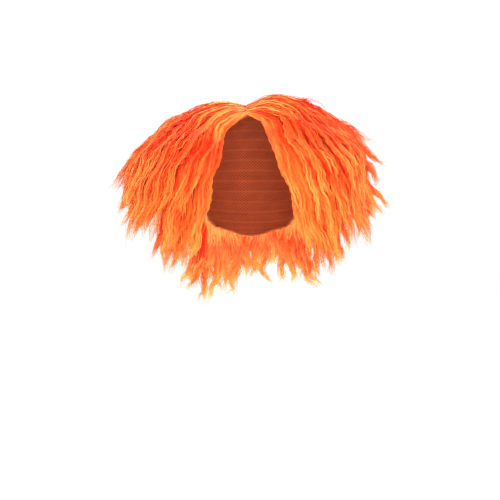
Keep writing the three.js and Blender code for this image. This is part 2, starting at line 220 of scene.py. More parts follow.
# How hair differs round the outline
TUCKED = (0, 0.18)
CURTAIN = (0.08, 0.22)
CALMED = (0, 0.2)
MIDDLE_BEGINS = (0.25, 0.4)
MIDDLE_ENDS = (0.6, 0.75)
SAG_PARTS = (1, 0.5, 0)  # of the shoulder, the bulge and the tip

# What differs from lock to lock, each in its own way
WAVE_KIND = 1
LENGTH_KIND = 2
WIDTH_KIND = 4
DROP_KIND = 5
TONE_KIND = 6
LOCK_STEP = 0.6180339887
KIND_STEP = 0.7548776662

# A lock and its clumps
DENSE = 97  # points along a line before it is spaced evenly
ROOT_SPREAD = (-0.49, 0.42)  # where clumps begin on their tape, as shares of TAPE_WIDTH
INTO_ROOT = 3 * MM  # how far they start before that, down in the seam
BUNCH = 4  # clumps that share a tip
PLACE_SPREAD = 0.7  # how far they lie off their place, as a share of half their distance
LOCK_NARROWS = 0.72  # towards its tip
LOCK_THINS = 0.6
LOCK_THINS_ASIDE = 0.6  # towards its edges
TIP_POWER = 4
DEEP_SPREAD = 0.35  # of the clumps' depth in a bunch
PULLED = (0.5, 1)
SLOW_BENDS = (1.2, 2.4)
SWAY = 1 * MM
SWAY_FORM = 2
HEAVE = 1.6 * MM
CURL_LENGTH = 36 * MM
CURL_SIZES = (0.4, 1.2)
CURLED = (0.5, 0.95)
CURL_SPREAD = 0.3
LAYERED = 0.42  # share of the bunches that are cut shorter, with their tips standing out
LAYER_LONGEST = 0.92
FULL_ENDS = (0.93, 1)
CLUMP_ENDS = (0.94, 1.04)
TIP_FLARE = 62 * MM  # how far a tip would stand out that is cut to nothing
UNFLARED_END = 1.02
FLARE_SIZES = (0.4, 1.3)
FLARE_FACING = (0.45, 1)  # how far a lock faces away from the head's axis
FLARE_ENDWAYS = 0.3  # share that is left at the front and the back
FLARE_BEFORE = 0.4  # how far before its end a clump begins to stand out
FLARE_PAST = 0.08
ROOT_RISE = 3.5 * MM  # how far the hair stands up beside the parting
ROOT_RISES = (0, 0.1)
ROOT_SETTLES = (0.12, 0.34)
BACK_SINK = 4 * MM
SUNK = (0.15, 0.4)
NOTCH_BEGINS = (0.6, 0.84)
NOTCH_ENDS = (0.88, 1)
HAIR_GAP = 0.6 * MM  # between the cap and the hair
CENTRE_SHARE = 0.3  # points nearer to the head's centre than this stay inside

# The strands of a clump
CLUMP_ACROSS = 4.2 * MM
CLUMP_DEEP = 2.2 * MM
STRAND_SPREAD = 0.5
CORE_SPREAD = 0.4  # the core's share of that
JOINS = (0.22, 0.5)  # where short strands join
JOIN_DEPTH = 2.5 * MM
JOIN_RISES = 0.15
ROOT_GATHERED = 0.55
GATHER_OPENS = (0, 0.3)
TIP_GATHERED = 0.4
GATHER_CLOSES = (0.55, 1)
FREE = 0.05  # share of the strands that stray
FREE_STRAY = 3 * MM
STRAND_STRAY = 1 * MM
CORE_STRAY = 0.4 * MM
STRAY_ROOT = 0.35
STRAY_TIP = 1.7
STRAY_POWER = 3
STRAY_BENDS = (1.5, 4.5)
ARCHED = 0.012  # share of the strands that arch over the rest
ARCH_RISE = 8 * MM
ARCH_SIZES = (0.4, 1)
CORE_SINK = 1.2 * MM
CORE_REACH = 0.98
CORE_CURL_REACH = 0.02  # how much less it reaches for each millimetre of curl

# The crimp
CRIMP_STEPS = 3.4  # points to a wave
CRIMP_LENGTH = 15.5 * MM
CRIMP_DEPTH = 1.15 * MM
CRIMP_TURN = 0.9
CRIMP_TURN_SPREAD = 0.2
CRIMP_DRIFT = 1.2
CRIMP_DRIFT_SPREAD = 0.35
CRIMP_START_SPREAD = 0.3
CLUMP_CRIMP = (0.7, 1.2)
STRAND_CRIMP = (0.8, 1.2)
CALM_CRIMP = 0.45  # share of the crimp that the curtains beside the face keep
CRIMPED = (0.02, 0.16)
CRIMP_FADES = (0.7, 1)
CRIMP_AT_TIP = 0.75

# How wide a strand is, how it is turned and what tone it has
STRAND_WIDTH = 1.3 * MM
CORE_WIDTH = 6 * MM
TIP_WIDTH = 0.25 * MM
STRAND_SIZES = (0.75, 1.2)
FINE = 0.6  # width of strands that stray or arch, as a share
STRAND_TAPER = 3
CORE_TAPER = 2
STRAND_AT_ROOT = 0.7
CORE_AT_ROOT = 0.35
ROOT_WIDENS = (0, 0.15)
ROLL = 1.15
CORE_ROLL = 0.5
OWN_FACING = 0.28  # share of a strand's own facing in its shading
RIBBON_BEND = 0.35
TONES = 16  # columns of the strands' shared texture
COLUMN_SIDES = (0.12, 0.88)
COLUMN_MARGIN = 0.01
MIDDLE_TONE = 0.5
# Strands deeper in their lock take darker tones: painted shade
DEPTH_PAINTED_SHADE = 0.16
LOCK_TONE = 0.12
CLUMP_TONE = 0.08
STRAND_TONE = 0.06
# Cores, under the strands, take darker tones: painted shade between them
CORE_PAINTED_SHADE = 0.68
# Where the painted light of pale sets in along a strand
PALES = (0.2, 0.45)


def vary(index, kind):
    """A number from -0.5 to 0.5 that differs from lock to lock."""
    return np.mod(np.asarray(index, float) * LOCK_STEP + kind * KIND_STEP, 1) - 0.5


def in_step(random, clump, low, high, spread):
    """A random number for each strand, close to one that is drawn for its clump."""
    drawn = random.uniform(low, high, clump[-1] + 1)
    return drawn[clump, None] + random.normal(0, spread, (len(clump), 1))


def lerp(a, b, t):
    return a + (b - a) * t


def smooth(x, low, high):
    t = np.clip((x - low) / (high - low), 0, 1)
    return t * t * (3 - 2 * t)


def unit(v):
    return v / np.maximum(np.linalg.norm(v, axis=-1, keepdims=True), 1e-12)


def between(rows, share):
    """Reads the rows of a table at shares of its length, along a smooth curve."""
    rows = np.asarray(rows, float)
    place = np.clip(share, 0, 1) * (len(rows) - 1)
    row = np.minimum(place.astype(int), len(rows) - 2)
    x = (place - row).reshape((-1,) + (1,) * (rows.ndim - 1))
    a, b, c, d = (rows[np.clip(row + k, 0, len(rows) - 1)] for k in (-1, 0, 1, 2))
    bend = (2 * a - 5 * b + 4 * c - d) * x**2 + (3 * (b - c) + d - a) * x**3
    return b + 0.5 * ((c - a) * x + bend)


def spline(knots, t):
    """Points on the curves through knots (lines, knots, 3), at t from 0 to 1."""
    before = 2 * knots[:, :1] - knots[:, 1:2]
    after = 2 * knots[:, -1:] - knots[:, -2:-1]
    padded = np.concatenate([before, knots, after], axis=1)
    last = knots.shape[1] - 1
    place = np.clip(t, 0, 1) * last
    k = np.minimum(place.astype(int), last - 1)
    x = (place - k)[..., None]
    lines = np.arange(len(knots))[:, None]
    a, b, c, d = (padded[lines, k + i] for i in range(4))
    m0 = (c - a) / 2
    m1 = (d - b) / 2
    return (
        b * (1 + x * x * (2 * x - 3)) + m0 * x * (1 - x) ** 2
        + c * x * x * (3 - 2 * x) + m1 * x * x * (x - 1)
    )


def plan_radius(azimuth, offset=0.0):
    x = np.cos(azimuth) / (HEAD_HALF_WIDTH + offset)
    y = np.sin(azimuth) / (HEAD_HALF_DEPTH + offset)
    return 1 / np.hypot(x, y)


def plan_point(sign, azimuth, radius, z):
    x = sign * radius * np.cos(azimuth)
    y = radius * np.sin(azimuth)
    return np.stack(np.broadcast_arrays(x, y, z), axis=-1)


def head_point(sign, azimuth, polar, offset):
    """A point on the head, taken out by an offset. Angles are in radians."""
    z = (HEAD_RISE + offset) * np.cos(polar) - HEAD_RISE
    return plan_point(sign, azimuth, plan_radius(azimuth, offset) * np.sin(polar), z)


def head_top(x, y, offset):
    across = x / (HEAD_HALF_WIDTH + offset)
    along = y / (HEAD_HALF_DEPTH + offset)
    rise = np.sqrt(1 - across**2 - along**2)
    return np.stack(np.broadcast_arrays(x, y, (HEAD_RISE + offset) * rise - HEAD_RISE), axis=-1)


def parting_point(sign, share, reach, offset):
    """A place beside the parting, or round its back end, at a distance from it."""
    turn = TURN / 4 * np.clip((share - CROWN_SHARE) / (1 - CROWN_SHARE), 0, 1)
    along = np.clip(between(ROOTS["root"], share), 0, 1)
    x = PARTING_OFFSET + sign * reach * np.cos(turn)
    y = lerp(PARTING_FRONT, PARTING_BACK, along) + reach * np.sin(turn)
    return head_top(x, y, offset)


def outline_points(side, share):
    """The shoulder, bulge and tip of hairs on the outer surface."""
    tuck = (1 - smooth(share, *TUCKED))[:, None] * np.array(side["tuck"]) * MM
    x = side["sign"] * (between(OUTLINE["across"], share) * WING_REACH - tuck)
    y = between(OUTLINE["back"], share) * BACK_REACH
    sag = between(ROOTS[side["sag"]], share)[:, None] * np.array(SAG_PARTS)
    z = -(between(OUTLINE["down"], share) + sag) * WING_DROP
    return np.stack([x, y, z], axis=-1)


def weft_lines(side, row, share, reach, run, stand_out):
    """The lines of hairs, from the row's tape to their tips."""
    points = outline_points(side, share)
    root = parting_point(side["sign"], share, reach, TAPE_MIDDLE)
    crest = lerp(root, points[:, 0], CREST_SHARE)
    crest[:, 2] += side["lift"] * between(ROOTS["lift"], share)
    outer = spline(np.stack([root, crest, *points.transpose(1, 0, 2)], axis=1), run)
    hung = np.clip((run - HANG_SHARE) / (1 - HANG_SHARE), 0, 1)
    azimuths = np.arctan2(points[..., 1], side["sign"] * points[..., 0])
    azimuth = lerp(azimuths[:, :1], azimuths[:, 2:], hung)
    polar = TURN / 4 * np.minimum(run / HANG_SHARE, 1)
    inner = head_point(side["sign"], azimuth, polar, TAPE_MIDDLE)
    under = between(ROOTS["under"], share)[:, None]
    inner[..., 2] = lerp(inner[..., 2], -under * WING_DROP, hung)
    ramp = smooth(run, row["start"], row["start"] + SPREAD_SHARE) if row["start"] > 0 else 1.0
    depth = row["depth"] * ramp + stand_out[:, None] * run**2
    return lerp(inner, outer, depth[..., None])


def nape_lines(spot, index, run):
    """The lines of the lowest row, hanging from the back edge of the cap."""
    sign = np.where(spot < 0, -1.0, 1.0)
    side_drop = np.where(spot < 0, LEFT["nape_drop"], RIGHT["nape_drop"])
    azimuth, drop, flare = (
        between(NAPE_OUTLINE[key], 1 - np.abs(spot)) for key in ("azimuth", "drop", "flare")
    )
    azimuth = np.radians(azimuth)
    root = head_point(sign, azimuth, np.radians(NAPE_POLAR), TAPE_MIDDLE)
    radius = np.hypot(root[:, 0], root[:, 1])
    tip_z = -NAPE_DROP * drop * side_drop * (1 + NAPE_SHARE * vary(index, DROP_KIND))
    half_z = lerp(root[:, 2], tip_z, 0.5)
    bend = plan_point(sign, azimuth, radius + NAPE_HALFWAY * flare * BACK_REACH, half_z)
    tip = plan_point(sign, azimuth, radius + flare * BACK_REACH, tip_z)
    return spline(np.stack([root, bend, tip], axis=1), run)


def even(lines, steps):
    """The same lines with steps + 1 evenly spaced points, and their lengths."""
    gaps = np.linalg.norm(np.diff(lines, axis=1), axis=-1)
    travelled = np.concatenate([np.zeros((len(lines), 1)), np.cumsum(gaps, axis=1)], axis=1)
    spaced = np.empty((len(lines), steps + 1, 3))
    for k, (line, at) in enumerate(zip(lines, travelled)):
        wanted = np.linspace(0, at[-1], steps + 1)
        spaced[k] = np.stack([np.interp(wanted, at, line[:, i]) for i in range(3)], axis=-1)
    return spaced, travelled[:, -1]


def frames(lines):
    """Along, across and outward directions at each point of the lines."""
    along = unit(np.gradient(lines, axis=1))
    outward = lines - np.array([0, 0, -HEAD_RISE])
    across = unit(np.cross(along, outward))
    return along, across, np.cross(across, along)


def clear_of_cap(points):
    """Pushes points that lie in the cap or its hollow out to just above it."""
    room = CAP_WALL + HAIR_GAP
    size = np.array([HEAD_HALF_WIDTH, HEAD_HALF_DEPTH, HEAD_RISE]) + room
    centre = np.array([0, 0, -HEAD_RISE])
    share = np.linalg.norm((points - centre) / size, axis=-1, keepdims=True)
    pushed = centre + (points - centre) / np.maximum(share, CENTRE_SHARE)
    return np.where(share < 1, pushed, points)


def lock_places(count, first, last):
    """Evenly spaced places of locks, from the first to the last."""
    return lerp(first, last, np.arange(count) / (count - 1))


def clump_centres(random, lock, index, row, lines_of):
    """The clumps' lines before they bend, evenly spaced, and their lengths."""
    shortness = 0.5 + vary(index, LENGTH_KIND)
    centre = lines_of(lock, index, shortness, random)
    on = centre[:, -1:] + row["past"] * MM * unit(centre[:, -1:] - centre[:, -6:-5])
    seam = centre[:, :1] - INTO_ROOT * unit(centre[:, 3:4] - centre[:, :1])
    seam[..., 2] -= INTO_ROOT / 2
    centre = np.concatenate([seam, centre, on], axis=1)
    length = np.linalg.norm(np.diff(centre, axis=1), axis=-1).sum(axis=1)
    steps = int(round(CRIMP_STEPS * np.median(length) / CRIMP_LENGTH))
    return even(centre, steps)


def clump_bends(random, row, bunch, f, length):
    """How far clumps bend to the side and out, slowly all along and curling at their ends."""
    count = len(bunch)
    bunches = bunch[-1] + 1
    filled = smooth(f, 0, FILL_SHARE)
    slow = random.uniform(0, TURN, (2, count, 1))
    turns = f[None] * TURN * random.uniform(*SLOW_BENDS, (2, count, 1))
    sway = random.gamma(SWAY_FORM, SWAY, (count, 1)) * filled * np.sin(turns[0] + slow[0])
    heave = HEAVE * filled * np.sin(turns[1] + slow[1])
    curls = f[None] * length[:, None] / CURL_LENGTH * TURN
    start = random.uniform(0, TURN, (2, bunches))[:, bunch, None]
    curl = row["curl"] * MM * random.uniform(*CURL_SIZES, (2, bunches))[:, bunch, None]
    curl = curl * smooth(f, *CURLED)
    start = start + random.normal(0, CURL_SPREAD, (2, count, 1))
    return sway + curl[0] * np.sin(curls + start[0]), heave + curl[1] * np.sin(curls + start[1])


def clump_ends(random, row, bunch):
    """Where each clump ends, as a share of its line, and how far its cut tip stands out."""
    bunches = bunch[-1] + 1
    layered = random.random(bunches) < LAYERED
    bunch_end = np.where(
        layered,
        random.uniform(row["cut"], LAYER_LONGEST, bunches),
        random.uniform(*FULL_ENDS, bunches),
    )
    end = np.minimum(bunch_end[bunch] * random.uniform(*CLUMP_ENDS, len(bunch)), 1)
    flare = TIP_FLARE * (UNFLARED_END - bunch_end) * random.uniform(*FLARE_SIZES, bunches)
    return end, flare[bunch]


def flared(row, flare, end, outward, f):
    """How far clumps stand out along their lines, most where they face to the side."""
    at_end = (end * (len(f) - 1)).astype(int)
    facing = outward[np.arange(len(end)), at_end]
    level = np.hypot(facing[:, 0], facing[:, 1])
    sideways = smooth(level, *FLARE_FACING) * lerp(FLARE_ENDWAYS, 1, np.abs(facing[:, 0]))
    turned_out = smooth(f, end[:, None] - FLARE_BEFORE, end[:, None] + FLARE_PAST)
    return row["flare"] * (flare * sideways)[:, None] * turned_out


def clump_lines(random, locks, row, lines_of, thick, sink, notch):
    """Lays the clumps of a row. Gives their locks, depths in them, ends, lines and frames."""
    clumps = row["clumps"]
    lock = np.repeat(np.arange(len(locks)), clumps)
    index = locks[lock]
    number = np.tile(np.arange(clumps), len(locks))
    place = (number + 0.5) / clumps * 2 - 1
    bunches = -(-clumps // BUNCH)
    bunch = lock * bunches + number // BUNCH
    tip_place = np.bincount(bunch, place) / np.bincount(bunch)
    place = place + random.uniform(-PLACE_SPREAD, PLACE_SPREAD, len(lock)) / clumps
    centre, length = clump_centres(random, lock, index, row, lines_of)
    f = np.linspace(0, 1, centre.shape[1])
    filled = smooth(f, 0, FILL_SHARE)
    _, across, outward = frames(centre)

    # The slow wave of the whole lock, and each clump's place in its width and depth
    wave = f[None] * length[:, None] / WAVE_LENGTH * TURN + vary(index, WAVE_KIND)[:, None] * TURN
    swing = WAVE_DEPTH * filled
    width = LOCK_WIDTH * row["width"] * (1 + WIDTH_SHARE * vary(index, WIDTH_KIND))
    half_width = 0.5 * lerp(row.get("root_width", TAPE_WIDTH), width[:, None], filled[None])
    half_width = half_width * (1 - LOCK_NARROWS * f**TIP_POWER)
    half_deep = 0.5 * lerp(TAPE_THICKNESS, thick, filled) * (1 - LOCK_THINS * f**TIP_POWER)
    bunch_deep = random.uniform(-1, 1, len(tip_place))
    deep = np.clip(bunch_deep[bunch] + random.normal(0, DEEP_SPREAD, len(lock)), -1, 1)
    deep = deep * (1 - LOCK_THINS_ASIDE * np.abs(place))
    pull = row["pull"] * smooth(f, *PULLED)
    drawn = lerp(place[:, None], tip_place[bunch][:, None], pull)

    sway, heave = clump_bends(random, row, bunch, f, length)
    end, flare = clump_ends(random, row, bunch)
    flare = flared(row, flare, end, outward, f)
    side_way = drawn * half_width + swing * np.cos(wave) + sway
    out_way = deep[:, None] * half_deep + swing * np.sin(wave) + heave + flare

    # The outermost hair stands up beside the parting and lies closer in below it
    if row["depth"] == 1:
        out_way = out_way + ROOT_RISE * smooth(f, *ROOT_RISES) * (1 - smooth(f, *ROOT_SETTLES))
        out_way = out_way - sink * smooth(f, *SUNK)
        notched = smooth(f, *NOTCH_BEGINS) * (1 - smooth(f, *NOTCH_ENDS))
        out_way = out_way - notch[lock][:, None] * notched
    centre = centre + across * side_way[..., None] + outward * out_way[..., None]
    _, across, outward = frames(centre)
    return lock, deep, end, centre, across, outward


def strand_bends(random, core, joins, f):
    """Where strands begin, which are fine, and how far they lie off their clump's line."""
    count = len(core)
    begin = np.where(joins, random.uniform(*JOINS, (count, 1)), 0)
    spot = random.normal(0, STRAND_SPREAD, (2, count, 1)) * np.where(core, CORE_SPREAD, 1.0)
    gather = lerp(ROOT_GATHERED, 1, smooth(f, *GATHER_OPENS))
    gather = gather * (1 - TIP_GATHERED * smooth(f, *GATHER_CLOSES))
    free = (random.random((count, 1)) < FREE) & ~core
    stray = np.where(free, FREE_STRAY, np.where(core, CORE_STRAY, STRAND_STRAY))
    stray = stray * (STRAY_ROOT + STRAY_TIP * f[None] ** STRAY_POWER)
    bends = random.uniform(*STRAY_BENDS, (2, count, 1))
    start = random.uniform(0, TURN, (2, count, 1))
    loose = [stray * np.sin(f[None] * TURN * bends[i] + start[i]) for i in (0, 1)]
    side_way = spot[0] * CLUMP_ACROSS * gather + loose[0]
    sink = np.where(core, CORE_SINK, 0) * smooth(f, 0, FILL_SHARE)
    out_way = spot[1] * CLUMP_DEEP * gather + loose[1] - sink
    under = np.where(joins, JOIN_DEPTH, 0) * (1 - smooth(f, begin, begin + JOIN_RISES))
    arched = (random.random((count, 1)) < ARCHED) & ~core
    rise = np.where(arched, ARCH_RISE * random.uniform(*ARCH_SIZES, (count, 1)), 0)
    out_way = out_way - under + rise * np.sin(np.pi * f)
    return begin, free | arched, side_way, out_way


def crimp_bends(random, clump, calm, f):
    """The strands' crimp to the side and out, in step within a clump."""
    turn = in_step(random, clump, -CRIMP_TURN, CRIMP_TURN, CRIMP_TURN_SPREAD)
    drift = in_step(random, clump, -CRIMP_DRIFT, CRIMP_DRIFT, CRIMP_DRIFT_SPREAD)
    start = in_step(random, clump, 0, TURN, CRIMP_START_SPREAD)
    crimp = np.sin(TURN / CRIMP_STEPS * np.arange(len(f))[None] + start + drift * f[None])
    depth = CRIMP_DEPTH * random.uniform(*CLUMP_CRIMP, clump[-1] + 1)[clump, None]
    depth = depth * random.uniform(*STRAND_CRIMP, (len(clump), 1))
    depth = depth * lerp(CALM_CRIMP, 1, calm)[clump, None]
    crimp = crimp * depth * smooth(f, *CRIMPED) * lerp(1, CRIMP_AT_TIP, smooth(f, *CRIMP_FADES))
    return crimp * np.cos(turn), crimp * np.sin(turn)


def strand_tones(random, row, index, deep, clump, core):
    """Each strand's column in the shared texture: lighter on the outside of its lock and darker
    in the cores, both painted shade inside the lock; a row with a tone is lighter, as painted
    light; the rest differs at random.
    """
    # Painted shade deeper in the lock, and painted light in a row with a tone
    bright = MIDDLE_TONE + row["tone"] + DEPTH_PAINTED_SHADE * deep + LOCK_TONE * vary(index, TONE_KIND)
    bright = bright + random.normal(0, CLUMP_TONE, len(deep))
    bright = bright[clump] + random.normal(0, STRAND_TONE, len(clump))
    # Painted shade on the cores
    bright = np.where(core, CORE_PAINTED_SHADE * bright, bright)
    return np.clip(TONES * bright, 0, TONES - 1).astype(int)


def hair_mesh(
    name, locks, row, seed, lines_of, thick=LOCK_THICKNESS, sink=BACK_SINK,
    calm=1, notch=0, pale=0, colour_start=0,
):
    """Strands for the locks of one row. lines_of gives lines for clumps of given locks.

    calm, notch, pale and dyed are numbers for the whole row or for each of its locks.
    """
    random = np.random.default_rng(seed)
    calm, notch, pale, colour_start = (np.broadcast_to(v, len(locks)) for v in (calm, notch, pale, colour_start))
    lock, deep, clump_end, centre, across, outward = clump_lines(
        random, locks, row, lines_of, thick, sink, notch
    )
    strands = 1 + row["long"] + row["short"]
    clump = np.repeat(np.arange(len(lock)), strands)
    count = len(clump)
    kind = np.arange(count) % strands
    core = (kind == 0)[:, None]
    joins = (kind > row["long"])[:, None]
    steps = centre.shape[1] - 1
    f = np.linspace(0, 1, steps + 1)
    begin, fine, side_way, out_way = strand_bends(random, core, joins, f)
    crimp_aside, crimp_out = crimp_bends(random, clump, calm[lock], f)
    points = (
        centre[clump]
        + across[clump] * (side_way + crimp_aside)[..., None]
        + outward[clump] * (out_way + crimp_out)[..., None]
    )
    points = clear_of_cap(points)

    # Where each strand ends, and how it is turned
    ends = clump_end[clump] * random.uniform(1 - row["fray"], 1.0, count)
    ends = ends * np.where(core[:, 0], CORE_REACH - CORE_CURL_REACH * row["curl"], 1)
    last = (ends * steps).round().astype(int)
    first = (begin[:, 0] * steps).round().astype(int)
    shown = outward[clump]
    roll = random.uniform(-ROLL, ROLL, (count, 1, 1)) * np.where(core[..., None], CORE_ROLL, 1)
    facing = shown * np.cos(roll) + across[clump] * np.sin(roll)
    along = unit(np.gradient(points, axis=1))
    flat = unit(np.cross(facing, along))
    facing = np.cross(along, flat)
    soft = unit(shown - along * np.sum(shown * along, axis=-1, keepdims=True))
    normal = unit(lerp(soft, facing, OWN_FACING))

    # How wide it is from root to tip, and what it takes from the shared texture
    at = np.arange(steps + 1)[None]
    share = np.clip((at - first[:, None]) / (last - first)[:, None], 0, 1)
    broad = np.where(core, CORE_WIDTH, STRAND_WIDTH) * np.where(fine, FINE, 1.0)
    broad = broad * random.uniform(*STRAND_SIZES, (count, 1))
    wide = lerp(TIP_WIDTH, broad, 1 - share ** np.where(core, CORE_TAPER, STRAND_TAPER))
    at_root = np.where(core, CORE_AT_ROOT, STRAND_AT_ROOT)
    wide = wide * lerp(at_root, 1, smooth(share, *ROOT_WIDENS))
    tone = strand_tones(random, row, locks[lock], deep, clump, core[:, 0])
    down = np.clip(at / last[:, None], 0, 1)
    # The colours run ahead to the tips as painted light, and begin past the pale band beside the
    # roots as painted shade
    ahead = pale[lock][clump, None] * smooth(down, *PALES)
    down = lerp(colour_start[lock][clump, None], 1, lerp(down, 1, ahead))
    return strand_mesh(name, points, flat, normal, wide, down, first, last, tone)


def strand_mesh(name, points, flat, normal, wide, down, first, last, tone):
    """One mesh of two-sided ribbons with smooth shading across each."""
    at = np.arange(points.shape[1])[None]
    keep = (at >= first[:, None]) & (at <= last[:, None])
    half = flat * (wide / 2)[..., None]
    pair = np.stack([points - half, points + half], axis=2)[keep]
    bend = RIBBON_BEND * flat
    tilt = np.stack([unit(normal - bend), unit(normal + bend)], axis=2)[keep]
    number = np.cumsum(keep.ravel()).reshape(keep.shape) - 1
    left = 2 * number[keep & (at < last[:, None])]
    quads = np.stack([left, left + 2, left + 3, left + 1], axis=-1)
    u = (tone[:, None, None] + np.array(COLUMN_SIDES)) / TONES
    v = lerp(COLUMN_MARGIN, 1 - COLUMN_MARGIN, down[..., None])
    uv = np.stack(np.broadcast_arrays(u, v), axis=-1)[keep]
    return build_mesh(name, pair.reshape(-1, 3), quads, uv.reshape(-1, 2), tilt.reshape(-1, 3))


def build_mesh(name, points, quads, uv, normals=None):
    """An object of four-sided faces, with the UV map that the materials read."""
    mesh = bpy.data.meshes.new(name)
    mesh.vertices.add(len(points))
    mesh.vertices.foreach_set("co", points.astype(np.float32).ravel())
    mesh.loops.add(quads.size)
    mesh.loops.foreach_set("vertex_index", quads.astype(np.int32).ravel())
    mesh.polygons.add(len(quads))
    mesh.polygons.foreach_set("loop_start", np.arange(len(quads), dtype=np.int32) * 4)
    mesh.polygons.foreach_set("use_smooth", np.ones(len(quads), bool))
    mesh.update(calc_edges=True)
    layer = mesh.uv_layers.new(name="OFBake")
    layer.data.foreach_set("uv", uv[quads.ravel()].astype(np.float32).ravel())
    if normals is not None:
        mesh.normals_split_custom_set_from_vertices(normals.astype(np.float32))
    piece = bpy.data.objects.new(name, mesh)
    bpy.context.scene.collection.objects.link(piece)
    return piece


def weft_lines_of(row, sides, shares):
    """Gives the line maker of a row whose locks are on sides and at shares."""

    def lines_of(lock, index, shortness, random):
        run_to = lerp(LONGEST_SHARE, SHORTEST_SHARE, shortness * row["ragged"])
        reach = TAPE_REACH + random.uniform(*ROOT_SPREAD, len(lock)) * TAPE_WIDTH
        run = lerp(row["start"], run_to[:, None], np.linspace(0, 1, DENSE)[None])
        stand_out = STAND_OUT_SHARE * shortness
        made = np.empty((len(lock), DENSE, 3))
        for side in (LEFT, RIGHT):
            here = sides[lock] == side["sign"]
            if here.any():
                made[here] = weft_lines(
                    side, row, shares[lock][here], reach[here], run[here], stand_out[here]
                )
        return made

    return lines_of


def seam_index(sign, row):
    """The number of the lock in which two rows meet, below those of all other locks."""
    return sign * (row["start"] + 1) - 2


def side_weft(name, side, row, first, last, count, seed):
    """A row of one side. Its locks run from first to last round the outline."""
    shares = lock_places(count, first, last)
    index = seed + np.arange(count, dtype=float)
    if last == BACK_SHARE:
        index[-1] = seam_index(side["sign"], row)
    lines_of = weft_lines_of(row, np.full(count, side["sign"]), shares)
    curtain = 1 - smooth(shares, *CURTAIN)
    middle = smooth(shares, *MIDDLE_BEGINS) * (1 - smooth(shares, *MIDDLE_ENDS))
    return hair_mesh(
        name, index, row, seed + 1, lines_of,
        sink=side["sink"],
        calm=smooth(shares, *CALMED),
        notch=middle * side["notch"],
        # Painted light on the wing's middle and the curtain, and painted shade on the curtain's
        # upper part
        pale=middle * side["pale"] + curtain * side["curtain_pale"],
        colour_start=curtain * side["curtain_painted_shade"],
    )


def back_weft(name, row, count, seed):
    """A row behind, from where it meets the left side's to where it meets the right side's."""
    spots = lock_places(count, -1.0, 1.0)
    sides = np.where(spots < 0, -1, 1)
    shares = 1 - np.abs(spots) * (1 - BACK_SHARE)
    index = seed + np.arange(count, dtype=float)
    index[0] = seam_index(-1, row)
    index[-1] = seam_index(1, row)
    return hair_mesh(name, index, row, seed + 1, weft_lines_of(row, sides, shares))


def nape_weft(name, row, count, seed):
    """The lowest row, from the left to the right along the back edge of the cap."""
    spots = (np.arange(count) + 0.5) / count * 2 - 1
    index = seed + np.arange(count, dtype=float)
    row = {**row, "root_width": TAPE_WIDTH * NAPE_ROOT_WIDTH}

    def lines_of(lock, index, shortness, random):
        run = np.repeat(np.linspace(0, 1, DENSE)[None], len(lock), axis=0)
        return nape_lines(spots[lock], index, run)

    return hair_mesh(name, index, row, seed + 1, lines_of)


def loose_locks(name, paths, row, thick, seed):
    """Locks that stand off the rest of the hair, along paths of their own."""
    index = seed + np.arange(len(paths), dtype=float)
    t = np.linspace(0, 1, DENSE)[None]
    lines = np.concatenate([spline(np.array([path], float) * MM, t) for path in paths])

    def lines_of(lock, index, shortness, random):
        return lines[lock] + random.normal(0, LOOSE_SPREAD, (len(lock), 1, 3)) * MM

    return hair_mesh(name, index, row, seed + 1, lines_of, thick=thick, colour_start=LOOSE_COLOUR_START)


# The cap
CAP_COLUMNS = 144
CAP_ROWS = 80
OUTER_SKIN = CAP_WALL - 0.3 * MM
INNER_SKIN = 1 * MM
RIB_EVERY = 9  # degrees down the head
RIB_RISE = 0.7 * MM
RIB_SIDES = (0.55, 0.95)
HEM_SIDES = 8
HEM_RADIUS = 1.3 * MM
RIM_STEP = 0.05  # radians up from the edge, to tell which way it runs

# Colours run from the darkest strand to the lightest, and from the root to the tip
HAIR_SURFACE = {"Specular IOR Level": 0.18, "Sheen Weight": 0.06, "Sheen Roughness": 0.4}
HAIR_TONES = ((0, (0.96, 0.05, 0.006)), (0.5, (0.98, 0.17, 0.026)), (1, (1.0, 0.3, 0.065)))
# From the root to the tip: darker at the very root, then a pale band that is a painted highlight
# of the light on the top of the head, a redder, darker middle that is painted shade, and paler
# tips
HAIR_ENDS = (
    (0, (0.9, 0.8, 0.8)),
    (0.05, (1, 1.75, 2.2)),
    (0.25, (1, 1.75, 2.0)),
    (0.5, (1, 0.45, 0.46)),
    (0.78, (1, 1.06, 1.0)),
    (1, (1.0, 2.05, 2.1)),
)
HAIR_BUMP = (0.35, 0.4 * MM)  # strength and height
FIBRES = 5  # across a strand
FIBRE_RUNS = 14  # from root to tip
FIBRE_DETAIL = 2
FIBRE_OFFSET = 7.31  # from one column of the texture to the next
FIBRE_SHADES = ((0.3, (1, 0.78, 0.7)), (0.72, (1, 1.15, 1.2)))
FIBRE_ROUGHNESS = (0.3, 0.34)  # how much the fibres add, and to what

# What is built of a wave for the net is its height times the first number plus the second
NET_SURFACE = {"Roughness": 0.85, "Specular IOR Level": 0.25}
NET_AROUND = 120
NET_DOWN = 78
NET_THREAD = (5, -1.6)
NET_TAPE = (3, -2.3)
NET_STITCH = (0.3, 0.7)
NET_SOFTNESS = 0.2
# The net's low parts, the holes between its threads, take the dark colour as painted shade; the
# threads and tapes take the light one
NET_SHADES = ((0, (0.24, 0.035, 0.01)), (1, (0.52, 0.1, 0.025)))
NET_BUMP = (0.6, 0.5 * MM)
STITCHES = 260
BLOTCHES_AROUND = 23
BLOTCHES_DOWN = 17
BLOTCH_DETAIL = 3
BLOTCH_SHADES = ((0.3, (0.82, 0.8, 0.8)), (0.7, (1, 1, 1)))


